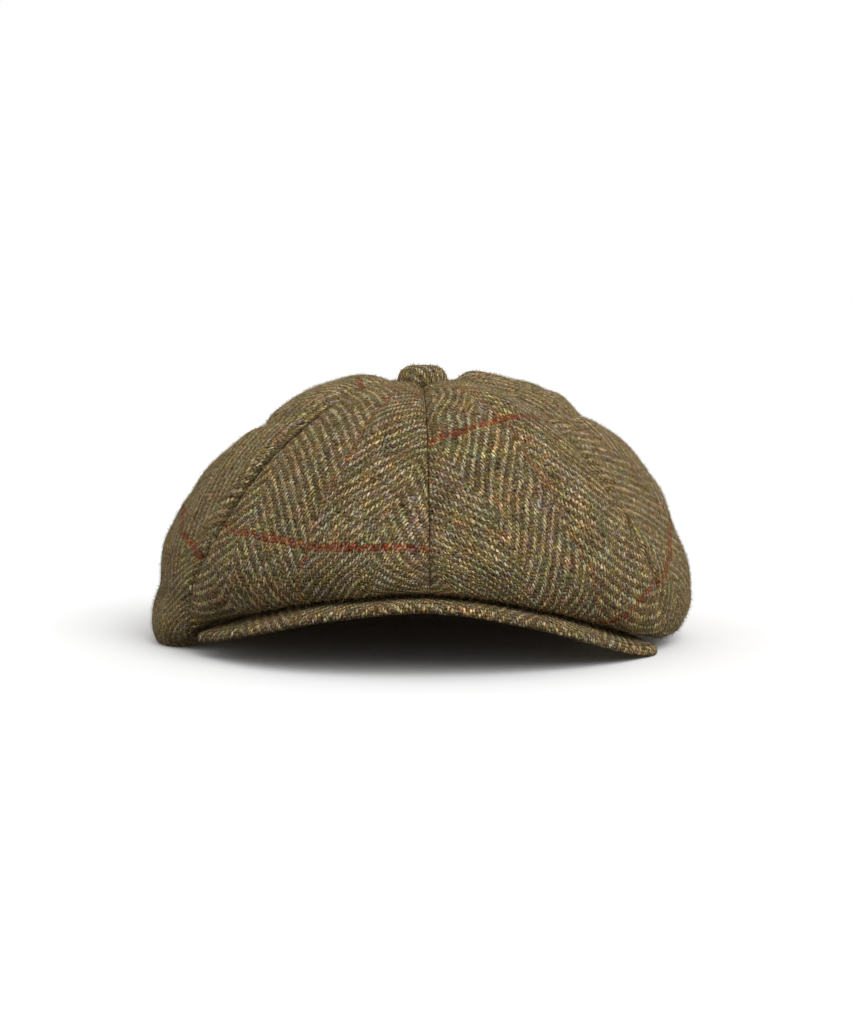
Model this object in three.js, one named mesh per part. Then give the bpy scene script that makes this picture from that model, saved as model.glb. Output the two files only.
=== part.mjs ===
// Eight-panel tweed cap with a stiff arched peak, lying as it rests on a table.
// Millimetres, +Z up, table at z = 0. The front faces -Y; left and right are as seen from the front.
import * as THREE from 'three';

// Driving sizes.
const CLOTH = 2.4;            // tweed with its lining
const GAP = 0.35;             // air between two sewn pieces
const PEAK_CLEAR = 0.6;       // air between the crown's lower fold and the peak
const COVER_EDGE = 3;         // that air is kept this far past the peak's outline,
const COVER_SLOPE = 1.1;      // and from there the fold may drop this steeply
const REST_SOFT = 0.8;        // how softly that fold settles on the peak
const SEAT_Z = 123.5;         // height of the crown's top before the button pulls it down
const SEAT_DIP = 7;           // how far the button pulls it down
const SEAT_DIP_R = 17;
const FLAT_R = 6;             // the cloth is flat round the button as far as this,
const FLAT_FADE = 20;         // and puffs up over the next stretch
const HOLE_S = 0.02;          // where the panels stop round the button's shank
const BAND_SIDE = 84;         // half width and half length of the band's outer face
const BAND_LONG = 102;
const BAND_TALL = 28;
const BAND_THICK = 2.4;
const PUFF = 7.5;             // fullness of a panel between its seams
const PUFF_HALF = 15;         // half width at which that fullness is mostly reached
const PUFF_FADE = 0.25;       // share of it lost towards the rim
const SEAM_DIP = 1.6;         // the seam lies this much under the panels beside it
const SEAM_WIDTH = 2.2;
const SEAM_HEM = 0.3;         // share of that dip left at the band
const PEAK_THICK = 4.6;
const PEAK_TAPER = 3.5;       // degrees of root over which its ends grow thin
const PEAK_THIN = 0.3;        // share of the thickness left there
const BUTTON_R = 12.2;
const BUTTON_TOP = 130.8;
const BUTTON_LIP = 1.2;       // its underside is this much smaller
const BUTTON_DISH = 3.4;      // its underside rises this much towards the rim
const BUTTON_RIM = 5.6;       // its widest line over the crown's seat
const BUTTON_CURVE = { under: 1.6, across: 0.55, up: 0.9 };   // bends of its underside and dome
const SHANK_R = 3.0;
const SHANK_DEPTH = 6;
const TWEED = 0x6b5d43;
const AXIS_X = 0.5;           // the button's place over the middle of the cap's outline
const AXIS_Y = 10.2;

// Stations down each panel, as a share of its length from the button to the band.
const UPPER = 0.20;
const SHOULDER = 0.40;
const WIDEST = 0.62;          // the crown's widest line
const FOOT = 0.80;            // the lowest line of its fold
const UPPER_R = 50;
const TOP_SPREAD = 240;       // mm of radius for each unit of length, at the button
const SHOULDER_R = 95;
// How strongly the profile rounds out at the shoulder, the rim, the fold and the hem.
const ROUNDING = { shoulder: 1.15, rim: 1.5, fold: 1.2, hem: 1.3 };

// One row for each direction round the crown. Azimuth is in degrees from the front,
// positive to the right; heights and lengths in mm.
const CROWN = [
  { azimuth: -180, upperZ: 114, shoulderZ: 91, reach: 131, reachZ: 34, roll: 24, footZ: 3, hemZ: 14 },
  { azimuth: -135, upperZ: 117, shoulderZ: 90, reach: 127, reachZ: 32, roll: 24, footZ: -2, hemZ: 14 },
  { azimuth: -97, upperZ: 117.5, shoulderZ: 86, reach: 124, reachZ: 28, roll: 14, footZ: 1, hemZ: 16 },
  { azimuth: -72, upperZ: 117, shoulderZ: 87, reach: 125.5, reachZ: 23, roll: 5, footZ: -2.4, hemZ: 20 },
  { azimuth: -58, upperZ: 118, shoulderZ: 90, reach: 127, reachZ: 28, roll: 7, footZ: 10, hemZ: 24 },
  { azimuth: -28, upperZ: 119, shoulderZ: 97, reach: 135, reachZ: 42, roll: 5, footZ: 26, hemZ: 37 },
  { azimuth: 0, upperZ: 120, shoulderZ: 103, reach: 145, reachZ: 46, roll: 5, footZ: 34, hemZ: 39 },
  { azimuth: 30, upperZ: 120, shoulderZ: 100, reach: 136, reachZ: 40, roll: 5, footZ: 20.5, hemZ: 35 },
  { azimuth: 58, upperZ: 119, shoulderZ: 91, reach: 129, reachZ: 28, roll: 5, footZ: 5.5, hemZ: 23 },
  { azimuth: 75, upperZ: 118, shoulderZ: 90, reach: 126, reachZ: 25, roll: 6, footZ: 5, hemZ: 18 },
  { azimuth: 97, upperZ: 119, shoulderZ: 92, reach: 124.5, reachZ: 27, roll: 10, footZ: 3, hemZ: 16 },
  { azimuth: 135, upperZ: 117.5, shoulderZ: 92, reach: 127, reachZ: 32, roll: 24, footZ: -2, hemZ: 14 },
  { azimuth: 180, upperZ: 114, shoulderZ: 91, reach: 131, reachZ: 34, roll: 24, footZ: 3, hemZ: 14 },
];

// Each seam starts at the button at one azimuth and turns to another at the rim. The turn lies
// between two shares of its length.
const SEAMS = [
  { atButton: -180, atRim: -180, from: 0, to: 0.62 },
  { atButton: -135, atRim: -138, from: 0, to: 0.62 },
  { atButton: -90, atRim: -97, from: 0, to: 0.62 },
  { atButton: -43, atRim: -60, from: 0.28, to: 0.66 },
  { atButton: 0, atRim: 0, from: 0, to: 0.62 },
  { atButton: 46, atRim: 60, from: 0.3, to: 0.78 },
  { atButton: 90, atRim: 97, from: 0, to: 0.62 },
  { atButton: 135, atRim: 138, from: 0, to: 0.62 },
  { atButton: 180, atRim: 180, from: 0, to: 0.62 },
];

// The panel between one seam and the next.
const PANELS = [
  { name: 'panel_back_left', columns: 9 },
  { name: 'panel_rear_side_left', columns: 9 },
  { name: 'panel_side_left', columns: 10 },
  { name: 'panel_front_left', columns: 12 },
  { name: 'panel_front_right', columns: 12 },
  { name: 'panel_side_right', columns: 10 },
  { name: 'panel_rear_side_right', columns: 9 },
  { name: 'panel_back_right', columns: 9 },
];
const ROWS = [HOLE_S, 0.05, 0.085, 0.125, 0.17, 0.22, 0.27, 0.32, 0.37, 0.42, 0.47, 0.52, 0.57, 0.62,
  0.655, 0.69, 0.72, 0.75, 0.775, 0.80, 0.84, 0.88, 0.92, 0.96, 1.0];

// Soft bulges (positive) and dents of the worn cloth: centre, half sizes and height.
const DENTS = [
  { azimuth: -76, down: 0.71, wide: 15, long: 0.06, height: 4.0 },    // bulge by the peak's left end
  { azimuth: -84, down: 0.605, wide: 18, long: 0.035, height: -3.2 }, // fold above that bulge
  { azimuth: -106, down: 0.325, wide: 27, long: 0.065, height: -9 },  // side seams pulled in
  { azimuth: 106, down: 0.315, wide: 25, long: 0.05, height: -8.5 },
  { azimuth: 84, down: 0.62, wide: 14, long: 0.03, height: -1.0 },    // fold low on the right
  { azimuth: 0, down: 0.13, wide: 42, long: 0.08, height: -3.4 },     // the button stands clear in front
  { azimuth: 180, down: 0.14, wide: 38, long: 0.09, height: -4.0 },
  { azimuth: 30, down: 0.34, wide: 14, long: 0.08, height: 1.2 },     // fullness of the front panels
  { azimuth: -24, down: 0.46, wide: 12, long: 0.09, height: 1.0 },
  { azimuth: 160, down: 0.45, wide: 16, long: 0.08, height: -1.6 },
  { azimuth: -120, down: 0.52, wide: 14, long: 0.07, height: -1.4 },
];

// The peak: its root along the band, its front edge, and the height of its middle layer.
const PEAK = [
  { root: -66, rootZ: 12, edge: -58.5, reach: 121, edgeZ: 7.0 },
  { root: -60, rootZ: 16.5, edge: -54.5, reach: 129, edgeZ: 8.0 },
  { root: -50, rootZ: 23, edge: -46, reach: 132.5, edgeZ: 10.8 },
  { root: -35, rootZ: 31, edge: -33, reach: 141, edgeZ: 17 },
  { root: -18, rootZ: 34.5, edge: -17, reach: 149.5, edgeZ: 26.2 },
  { root: 0, rootZ: 35.4, edge: 0, reach: 153, edgeZ: 31 },
  { root: 18, rootZ: 33.5, edge: 17, reach: 149.5, edgeZ: 23 },
  { root: 35, rootZ: 28.5, edge: 33, reach: 141, edgeZ: 11.2 },
  { root: 50, rootZ: 20, edge: 46, reach: 134.5, edgeZ: 3.6 },
  { root: 60, rootZ: 12.5, edge: 54.5, reach: 131, edgeZ: 1.9 },
  { root: 66, rootZ: 8, edge: 58, reach: 123.5, edgeZ: 1.7 },
];
const PEAK_END = PEAK[PEAK.length - 1].root;
const PEAK_COLUMNS = 44;
const PEAK_CROWDING = 1.25;   // how much closer its columns stand towards its ends
const PEAK_DEPTHS = [0, 0.14, 0.30, 0.46, 0.62, 0.76, 0.88];   // shares of the peak's depth
const PEAK_NOSE = [0, 45, 90, 135, 180];                       // degrees round its rolled edge

// Height of the band's lower edge.
const BAND = [
  { azimuth: -180, lowZ: 2.5 },
  { azimuth: -135, lowZ: 2.5 },
  { azimuth: -90, lowZ: 5 },
  { azimuth: -60, lowZ: 11 },
  { azimuth: -30, lowZ: 27 },
  { azimuth: 0, lowZ: 31 },
  { azimuth: 30, lowZ: 25 },
  { azimuth: 60, lowZ: 8 },
  { azimuth: 90, lowZ: 4 },
  { azimuth: 135, lowZ: 2.5 },
  { azimuth: 180, lowZ: 2.5 },
];
const BAND_COLUMNS = 72;

// Helpers.
const rad = (degrees) => degrees * Math.PI / 180;
const clamp01 = (t) => Math.min(1, Math.max(0, t));
const bell = (t) => Math.exp(-t * t);
const smooth = (t) => clamp01(t) ** 2 * (3 - 2 * clamp01(t));

// Cubic between two values with slopes already scaled to the step.
function cubic(t, p0, m0, p1, m1) {
  const t2 = t * t, t3 = t2 * t;
  return (2 * t3 - 3 * t2 + 1) * p0 + (t3 - 2 * t2 + t) * m0 + (3 * t2 - 2 * t3) * p1 + (t3 - t2) * m1;
}

// A smooth curve through one column of a table, closed on itself when it goes all the way round.
function curve(table, key, column, closed) {
  const x = table.map((row) => row[key]), y = table.map((row) => row[column]);
  const n = x.length - 1;
  const h = [], d = [], m = [];
  for (let i = 0; i < n; i++) {
    h.push(x[i + 1] - x[i]);
    d.push((y[i + 1] - y[i]) / h[i]);
  }
  for (let i = 1; i < n; i++) m[i] = (h[i] * d[i - 1] + h[i - 1] * d[i]) / (h[i - 1] + h[i]);
  m[0] = closed ? (h[0] * d[n - 1] + h[n - 1] * d[0]) / (h[n - 1] + h[0]) : d[0];
  m[n] = closed ? m[0] : d[n - 1];
  return (at) => {
    let i = n - 1;
    while (i > 0 && at < x[i]) i--;
    return cubic((at - x[i]) / h[i], y[i], m[i] * h[i], y[i + 1], m[i + 1] * h[i]);
  };
}

const crown = {};
for (const column of ['upperZ', 'shoulderZ', 'reach', 'reachZ', 'roll', 'footZ', 'hemZ'])
  crown[column] = curve(CROWN, 'azimuth', column, true);
const peak = {};
for (const column of ['rootZ', 'edge', 'reach', 'edgeZ']) peak[column] = curve(PEAK, 'root', column, false);
const bandLowZ = curve(BAND, 'azimuth', 'lowZ', true);

function bandRadius(azimuth, extra = 0) {
  const a = rad(azimuth), A = BAND_SIDE + extra, B = BAND_LONG + extra;
  return A * B / Math.hypot(B * Math.sin(a), A * Math.cos(a));
}

// A point at an azimuth and distance from the button's axis.
function polar(azimuth, r, z) {
  return new THREE.Vector3(AXIS_X + r * Math.sin(rad(azimuth)), AXIS_Y - r * Math.cos(rad(azimuth)), z);
}

// A closed skin from a grid of outer points and the matching inner ones.
function closedShell(outer, inner) {
  const rows = outer.length, columns = outer[0].length;
  const position = [], index = [];
  for (const grid of [outer, inner])
    for (const row of grid)
      for (const p of row) position.push(p.x, p.y, p.z);
  const o = (i, j) => i * columns + j, q = (i, j) => rows * columns + i * columns + j;
  const quad = (a, b, c, d) => index.push(a, b, c, a, c, d);
  for (let i = 0; i < rows - 1; i++) for (let j = 0; j < columns - 1; j++) {
    quad(o(i, j), o(i + 1, j), o(i + 1, j + 1), o(i, j + 1));
    quad(q(i, j), q(i, j + 1), q(i + 1, j + 1), q(i + 1, j));
  }
  for (let i = 0; i < rows - 1; i++) {
    quad(o(i, 0), q(i, 0), q(i + 1, 0), o(i + 1, 0));
    quad(o(i, columns - 1), o(i + 1, columns - 1), q(i + 1, columns - 1), q(i, columns - 1));
  }
  for (let j = 0; j < columns - 1; j++) {
    quad(o(0, j), o(0, j + 1), q(0, j + 1), q(0, j));
    quad(o(rows - 1, j), q(rows - 1, j), q(rows - 1, j + 1), o(rows - 1, j + 1));
  }
  const geometry = new THREE.BufferGeometry();
  geometry.setAttribute('position', new THREE.Float32BufferAttribute(position, 3));
  geometry.setIndex(index);
  return geometry;
}

// A closed skin round a row of closed rings, with a flat end at each side unless it joins itself.
function ringLoft(rings, joined) {
  const n = rings.length, m = rings[0].length;
  const position = [], index = [];
  for (const ring of rings) for (const p of ring) position.push(p.x, p.y, p.z);
  const last = joined ? n : n - 1;
  for (let i = 0; i < last; i++) for (let j = 0; j < m; j++) {
    const a = i * m + j, b = i * m + (j + 1) % m;
    const c = ((i + 1) % n) * m + (j + 1) % m, d = ((i + 1) % n) * m + j;
    index.push(a, b, c, a, c, d);
  }
  if (!joined) for (const [ring, flip] of [[0, false], [n - 1, true]]) {
    // the two halves of a ring lie over each other, so its end closes like a ladder
    for (let j = 0; j < m / 2 - 1; j++) {
      const a = ring * m + j, b = ring * m + j + 1, c = ring * m + m - 2 - j, d = ring * m + m - 1 - j;
      if (flip) index.push(a, b, c, a, c, d);
      else index.push(a, c, b, a, d, c);
    }
  }
  const geometry = new THREE.BufferGeometry();
  geometry.setAttribute('position', new THREE.Float32BufferAttribute(position, 3));
  geometry.setIndex(index);
  return geometry;
}

// Half its thickness, thinner at its two ends.
function peakHalf(root) {
  const q = clamp01((Math.abs(root) - PEAK_END + PEAK_TAPER) / PEAK_TAPER);
  return PEAK_THICK / 2 * (PEAK_THIN + (1 - PEAK_THIN) * Math.sqrt(1 - q * q));
}

// A point of its middle layer: root is the azimuth of its line on the band, t goes out to the edge.
function peakMiddle(root, t) {
  const from = polar(root, bandRadius(root) + GAP, peak.rootZ(root));
  const to = polar(peak.edge(root), peak.reach(root), peak.edgeZ(root));
  return from.lerp(to, t);
}

// Height of its upper face under a point of the crown, falling away beyond its outline.
function peakCover(azimuth, r) {
  const within = (root) => Math.min(PEAK_END, Math.max(-PEAK_END, root));
  let root = azimuth, t = 0.5;
  for (let turn = 0; turn < 6; turn++) {
    const u = within(root), r0 = bandRadius(u) + GAP;
    t = (r - r0) / (peak.reach(u) - r0);
    root = azimuth + (u - peak.edge(u)) * clamp01(t);
  }
  const u = within(root);
  const outside = rad(Math.abs(root - u)) * r + Math.max(0, t - 1) * (peak.reach(u) - bandRadius(u));
  return peakMiddle(u, clamp01(t)).z + PEAK_THICK / 2 - COVER_SLOPE * Math.max(0, outside - COVER_EDGE);
}

function peakGeometry() {
  const rings = [];
  for (let i = 0; i <= PEAK_COLUMNS; i++) {
    const share = 2 * i / PEAK_COLUMNS - 1;
    const root = PEAK_END * Math.sign(share) * (1 - (1 - Math.abs(share)) ** PEAK_CROWDING);
    const half = peakHalf(root);
    const depth = peakMiddle(root, 1).distanceTo(peakMiddle(root, 0));
    const nose = half / depth;
    const ring = [];
    const add = (t, dz) => {
      const p = peakMiddle(root, t);
      p.z = Math.max(0, p.z + dz);
      ring.push(p);
    };
    for (const t of PEAK_DEPTHS) add(t, half);
    for (const turn of PEAK_NOSE) add(1 - nose + nose * Math.sin(rad(turn)), half * Math.cos(rad(turn)));
    for (const t of PEAK_DEPTHS.slice().reverse()) add(t, -half);
    rings.push(ring);
  }
  return ringLoft(rings, false);
}

// Azimuth of a seam at a share s of its length.
function seamAzimuth(k, s) {
  const { atButton, atRim, from, to } = SEAMS[k];
  return atButton + (atRim - atButton) * smooth((s - from) / (to - from));
}

// Degrees from one direction to another the short way round.
const turnFrom = (from, to) => ((to - from + 540) % 360) - 180;

// Radius and height of the crown's skin before fullness, seams and dents.
function meridian(azimuth, s) {
  const R = crown.reach(azimuth), zR = crown.reachZ(azimuth);
  const footR = R - crown.roll(azimuth), footZ = crown.footZ(azimuth);
  const hemR = bandRadius(azimuth) + 2 * GAP, hemZ = crown.hemZ(azimuth);
  const upZ = crown.upperZ(azimuth), shZ = crown.shoulderZ(azimuth);
  const upper = WIDEST - UPPER, under = 1 - FOOT;
  // each station: its place down the panel, radius, height, and how fast both change there
  const stations = [
    { s: 0, r: 0, z: SEAT_Z, dr: TOP_SPREAD, dz: 0 },
    { s: UPPER, r: UPPER_R, z: upZ, dr: SHOULDER_R / SHOULDER, dz: (shZ - SEAT_Z) / SHOULDER },
    { s: SHOULDER, r: SHOULDER_R, z: shZ, dr: ROUNDING.shoulder * (R - UPPER_R) / upper,
      dz: (zR - upZ) / upper },
    { s: WIDEST, r: R, z: zR, dr: 0, dz: -ROUNDING.rim * (zR - footZ) / (FOOT - WIDEST) },
    { s: FOOT, r: footR, z: footZ, dr: -ROUNDING.fold * (R - hemR) / (1 - WIDEST), dz: 0 },
    { s: 1, r: hemR, z: hemZ, dr: -(footR - hemR) / under, dz: ROUNDING.hem * (hemZ - footZ) / under },
  ];
  let i = stations.length - 2;
  while (i > 0 && s < stations[i].s) i--;
  const a = stations[i], b = stations[i + 1], h = b.s - a.s, t = (s - a.s) / h;
  return { r: cubic(t, a.r, a.dr * h, b.r, b.dr * h), z: cubic(t, a.z, a.dz * h, b.z, b.dz * h) };
}

// Outer skin of panel k: w from -1 to 1 between its seams, s from the button to the band.
function crownPoint(k, w, s) {
  const a0 = seamAzimuth(k, s), a1 = seamAzimuth(k + 1, s);
  const azimuth = (a0 + a1) / 2 + w * (a1 - a0) / 2;
  const wrapped = Math.min(180, Math.max(-180, azimuth));
  const here = meridian(wrapped, s);
  const ds = 0.001;
  const before = meridian(wrapped, Math.max(0, s - ds)), after = meridian(wrapped, Math.min(1, s + ds));
  const length = Math.hypot(after.r - before.r, after.z - before.z);
  const nr = -(after.z - before.z) / length, nz = (after.r - before.r) / length;
  // half width of the panel here, and distance from its nearer seam
  const half = here.r * rad(a1 - a0) / 2, edge = (1 - Math.abs(w)) * half;
  // the button flattens the cloth round it, and the fold is flat where it turns under
  const byButton = smooth((here.r - FLAT_R) / FLAT_FADE);
  const above = 1 - smooth((s - WIDEST) / (FOOT - WIDEST));
  const full = PUFF * (1 - Math.exp(-half / PUFF_HALF)) * (1 - PUFF_FADE * smooth(s / WIDEST));
  let off = full * (1 - w * w) * above * byButton;
  off -= SEAM_DIP * bell(edge / SEAM_WIDTH) * byButton * (SEAM_HEM + (1 - SEAM_HEM) * above);
  for (const d of DENTS)
    off += d.height * bell(turnFrom(d.azimuth, azimuth) / d.wide) * bell((s - d.down) / d.long);
  const r = here.r + nr * off;
  let z = here.z + nz * off - SEAT_DIP * bell(r / SEAT_DIP_R);
  z = Math.max(0, z);
  if (s > WIDEST && Math.abs(azimuth) < 90) {
    const least = peakCover(azimuth, r) + PEAK_CLEAR;
    if (least > z - 8 * REST_SOFT) z = (z + least + Math.hypot(z - least, REST_SOFT)) / 2;
  }
  return polar(azimuth, r, z);
}

// Direction out of the skin, taken just inside the seams.
function skinNormal(k, w, s) {
  const inside = 0.93, dw = 0.02, ds = 0.004;
  const at = Math.min(inside, Math.max(-inside, w));
  const across = crownPoint(k, at + dw, s).sub(crownPoint(k, at - dw, s));
  const down = crownPoint(k, at, Math.min(1, s + ds)).sub(crownPoint(k, at, Math.max(HOLE_S, s - ds)));
  return down.cross(across).normalize();
}

// At a seam both panels are cut square to the cloth on the seam's own line.
function cutNormal(k, w, s) {
  const own = skinNormal(k, w, s);
  if (Math.abs(w) < 1) return own;
  return own.add(skinNormal((k + Math.sign(w) + PANELS.length) % PANELS.length, -w, s)).normalize();
}

function panelGeometry(k, columns) {
  const outer = [], inner = [];
  for (const s of ROWS) {
    const rowOut = [], rowIn = [];
    const half = crownPoint(k, 1, s).distanceTo(crownPoint(k, -1, s)) / 2;
    for (let j = 0; j <= columns; j++) {
      const w = 2 * j / columns - 1;
      const p = crownPoint(k, w * (1 - GAP / 2 / half), s);
      rowOut.push(p);
      rowIn.push(p.clone().addScaledVector(cutNormal(k, w, s), -CLOTH));
    }
    outer.push(rowOut);
    inner.push(rowIn);
  }
  return closedShell(outer, inner);
}

function bandGeometry() {
  const rings = [];
  for (let i = 0; i < BAND_COLUMNS; i++) {
    const azimuth = 360 * i / BAND_COLUMNS - 180, low = bandLowZ(azimuth);
    const out = bandRadius(azimuth), into = bandRadius(azimuth, -BAND_THICK);
    rings.push([polar(azimuth, into, low), polar(azimuth, into, low + BAND_TALL),
      polar(azimuth, out, low + BAND_TALL), polar(azimuth, out, low)]);
  }
  return ringLoft(rings, true);
}

function buttonGeometry() {
  const profile = [];
  const low = crownPoint(3, 0, HOLE_S).z;
  const add = (r, z) => profile.push(new THREE.Vector2(r, z));
  // the shank through the hole where the panels meet
  add(0, low - SHANK_DEPTH);
  add(SHANK_R, low - SHANK_DEPTH);
  // the underside, dished over the puffed cloth
  for (let i = 0; i <= 4; i++)
    add(SHANK_R + (BUTTON_R - BUTTON_LIP - SHANK_R) * i / 4,
      low + GAP + BUTTON_DISH * (i / 4) ** BUTTON_CURVE.under);
  // the padded dome
  const rimZ = low + BUTTON_RIM;
  for (let i = 0; i < 8; i++) {
    const turn = rad(90 * i / 8);
    add(BUTTON_R * Math.cos(turn) ** BUTTON_CURVE.across,
      rimZ + (BUTTON_TOP - rimZ) * Math.sin(turn) ** BUTTON_CURVE.up);
  }
  add(0, BUTTON_TOP);
  return new THREE.LatheGeometry(profile, 32).rotateX(Math.PI / 2).translate(AXIS_X, AXIS_Y, 0);
}

// The cap.
const cap = new THREE.Group();
cap.name = 'tweed_cap';

function piece(name, geometry) {
  const tweed = new THREE.MeshStandardMaterial({ color: TWEED, roughness: 0.95, metalness: 0 });
  const mesh = new THREE.Mesh(geometry, tweed);
  mesh.name = name;
  cap.add(mesh);
}

PANELS.forEach((panel, k) => piece(panel.name, panelGeometry(k, panel.columns)));
piece('peak', peakGeometry());
piece('head_band', bandGeometry());
piece('button', buttonGeometry());

export default cap;
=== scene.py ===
# A hunting cap of eight tweed panels with a stiff arched peak, lying on a pale table.
# Lengths are in millimetres until a mesh is made from them, and the front faces -Y.
import math
import bpy
import numpy as np
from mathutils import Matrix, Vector


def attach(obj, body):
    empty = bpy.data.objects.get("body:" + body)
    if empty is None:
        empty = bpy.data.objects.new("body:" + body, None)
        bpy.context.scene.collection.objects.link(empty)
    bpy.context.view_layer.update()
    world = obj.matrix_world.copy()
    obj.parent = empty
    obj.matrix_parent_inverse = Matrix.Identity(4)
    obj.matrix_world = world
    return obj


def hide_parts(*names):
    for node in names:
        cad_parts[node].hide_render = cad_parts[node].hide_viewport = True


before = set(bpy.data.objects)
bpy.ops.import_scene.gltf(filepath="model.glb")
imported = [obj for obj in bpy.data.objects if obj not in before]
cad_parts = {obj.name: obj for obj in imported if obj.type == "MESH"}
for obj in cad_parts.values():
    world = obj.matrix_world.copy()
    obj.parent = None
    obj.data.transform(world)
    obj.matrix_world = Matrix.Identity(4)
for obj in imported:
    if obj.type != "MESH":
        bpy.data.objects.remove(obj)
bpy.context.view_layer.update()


# The camera stands in front of the cap, a hand's breadth to its left and a little above the table.
# Its long lens and small shift set the cap in the frame at the size and place of the photograph.
AIM = Vector((0.0005, 0.0102, 0.065))
CAMERA_OFFSET = Vector((-0.0305, -1.3445, 0.1177))
camera_data = bpy.data.cameras.new("camera")
camera_data.lens = 97.76
camera_data.sensor_width = 36
camera_data.shift_x = 0.0039
camera_data.shift_y = -0.0112
camera = bpy.data.objects.new("camera", camera_data)
camera.location = AIM + CAMERA_OFFSET
camera.rotation_mode = "QUATERNION"
camera.rotation_quaternion = (-CAMERA_OFFSET).to_track_quat("-Z", "Y")
bpy.context.scene.collection.objects.link(camera)
bpy.context.scene.camera = camera


# The form of the crown: eight gores that swell out from the button, turn under in a loose fold
# and come back to the head band. Each is cut a little full, so the seams lie in shallow valleys.
AXIS_X, AXIS_Y = 0.5, 10.2
GAP = 0.35
SEAT_Z, SEAT_DIP, SEAT_DIP_R = 123.5, 7, 17
FLAT_R, FLAT_FADE = 6, 20
HOLE_S = 0.02
UPPER, SHOULDER, WIDEST, FOOT = 0.20, 0.40, 0.62, 0.80
UPPER_R, SHOULDER_R, TOP_SPREAD = 50, 95, 240
ROUND_SHOULDER, ROUND_RIM, ROUND_FOLD, ROUND_HEM = 1.15, 1.5, 1.2, 1.3
PUFF, PUFF_HALF, PUFF_FADE = 7.5, 15, 0.25
SEAM_DIP, SEAM_WIDTH, SEAM_HEM = 1.6, 2.2, 0.3
BAND_SIDE, BAND_LONG = 84, 102
PEAK_CLEAR, COVER_EDGE, COVER_SLOPE, COVER_ROUNDS, REST_SOFT = 1.4, 3, 1.1, 6, 3.0
PEAK_THICK = 4.6

# Direction in degrees from the front, then the height at the upper and shoulder stations, the
# reach and height of the widest line, how far the fold rolls in, its height and the hem's height.
CROWN = [
    (-180, 114, 91, 131, 34, 24, 3, 14),
    (-135, 117, 90, 127, 32, 24, -2, 14),
    (-97, 117.5, 86, 124, 28, 14, 1, 16),
    (-72, 117, 87, 125.5, 23, 5, -2.4, 20),
    (-58, 118, 90, 127, 28, 7, 10, 24),
    (-28, 119, 97, 135, 42, 5, 26, 37),
    (0, 120, 103, 145, 46, 5, 34, 39),
    (30, 120, 100, 136, 40, 5, 20.5, 35),
    (58, 119, 91, 129, 28, 5, 5.5, 23),
    (75, 118, 90, 126, 25, 6, 5, 18),
    (97, 119, 92, 124.5, 27, 10, 3, 16),
    (135, 117.5, 92, 127, 32, 24, -2, 14),
    (180, 114, 91, 131, 34, 24, 3, 14),
]
SEAM_AT_BUTTON = (-180, -135, -90, -43, 0, 46, 90, 135, 180)
SEAM_AT_RIM = (-180, -138, -97, -60, 0, 60, 97, 138, 180)
SEAM_FROM = (0, 0, 0, 0.28, 0, 0.3, 0, 0, 0)
SEAM_TO = (0.62, 0.62, 0.62, 0.66, 0.62, 0.78, 0.62, 0.62, 0.62)

# Bulges and dents of the worn cloth: direction, place down the panel, half sizes and height.
DENTS = [
    (-76, 0.71, 15, 0.06, 4.0),
    (-84, 0.605, 18, 0.035, -3.2),
    (-106, 0.325, 27, 0.065, -9),
    (106, 0.315, 25, 0.05, -8.5),
    (84, 0.62, 14, 0.03, -1.0),
    (0, 0.13, 42, 0.08, -3.4),
    (180, 0.14, 38, 0.09, -4.0),
    (30, 0.34, 14, 0.08, 1.2),
    (-24, 0.46, 12, 0.09, 1.0),
    (160, 0.45, 16, 0.08, -1.6),
    (-120, 0.52, 14, 0.07, -1.4),
    (0, 0.085, 13, 0.045, 2.4),
    (-72, 0.328, 16, 0.017, -2.6),
    (-109, 0.19, 14, 0.035, -1.6),
    (-86, 0.465, 14, 0.018, -0.9),
    (-84.5, 0.54, 14, 0.020, 0.7),
    (74, 0.318, 16, 0.013, -1.9),
    (77, 0.265, 16, 0.022, 1.4),
    (109, 0.185, 14, 0.03, -1.7),
    (115, 0.10, 14, 0.03, 1.8),
    (81, 0.475, 16, 0.020, 1.3),
    (79, 0.525, 16, 0.020, -0.9),
]

# The peak: direction of its root on the band, the root's height, direction and reach of its
# front edge, and the edge's height.
PEAK = [
    (-66, 12, -58.5, 121, 7.0),
    (-60, 16.5, -54.5, 129, 8.0),
    (-50, 23, -46, 132.5, 10.8),
    (-35, 31, -33, 141, 17),
    (-18, 34.5, -17, 149.5, 26.2),
    (0, 35.4, 0, 153, 31),
    (18, 33.5, 17, 149.5, 23),
    (35, 28.5, 33, 141, 11.2),
    (50, 20, 46, 134.5, 3.6),
    (60, 12.5, 54.5, 131, 1.9),
    (66, 8, 58, 123.5, 1.7),
]
PEAK_END = PEAK[-1][0]


def bell(t):
    """A bump that is 1 at 0 and fades to either side."""
    return np.exp(-t * t)


def smooth(t):
    """A soft step from 0 at 0 up to 1 at 1."""
    t = np.clip(t, 0, 1)
    return t * t * (3 - 2 * t)


def cubic(t, p0, m0, p1, m1):
    """The value at a share t of the way from p0 to p1, leaving and arriving with slopes m0 and m1."""
    t2, t3 = t * t, t * t * t
    return (2 * t3 - 3 * t2 + 1) * p0 + (t3 - 2 * t2 + t) * m0 + (3 * t2 - 2 * t3) * p1 + (t3 - t2) * m1


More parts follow.
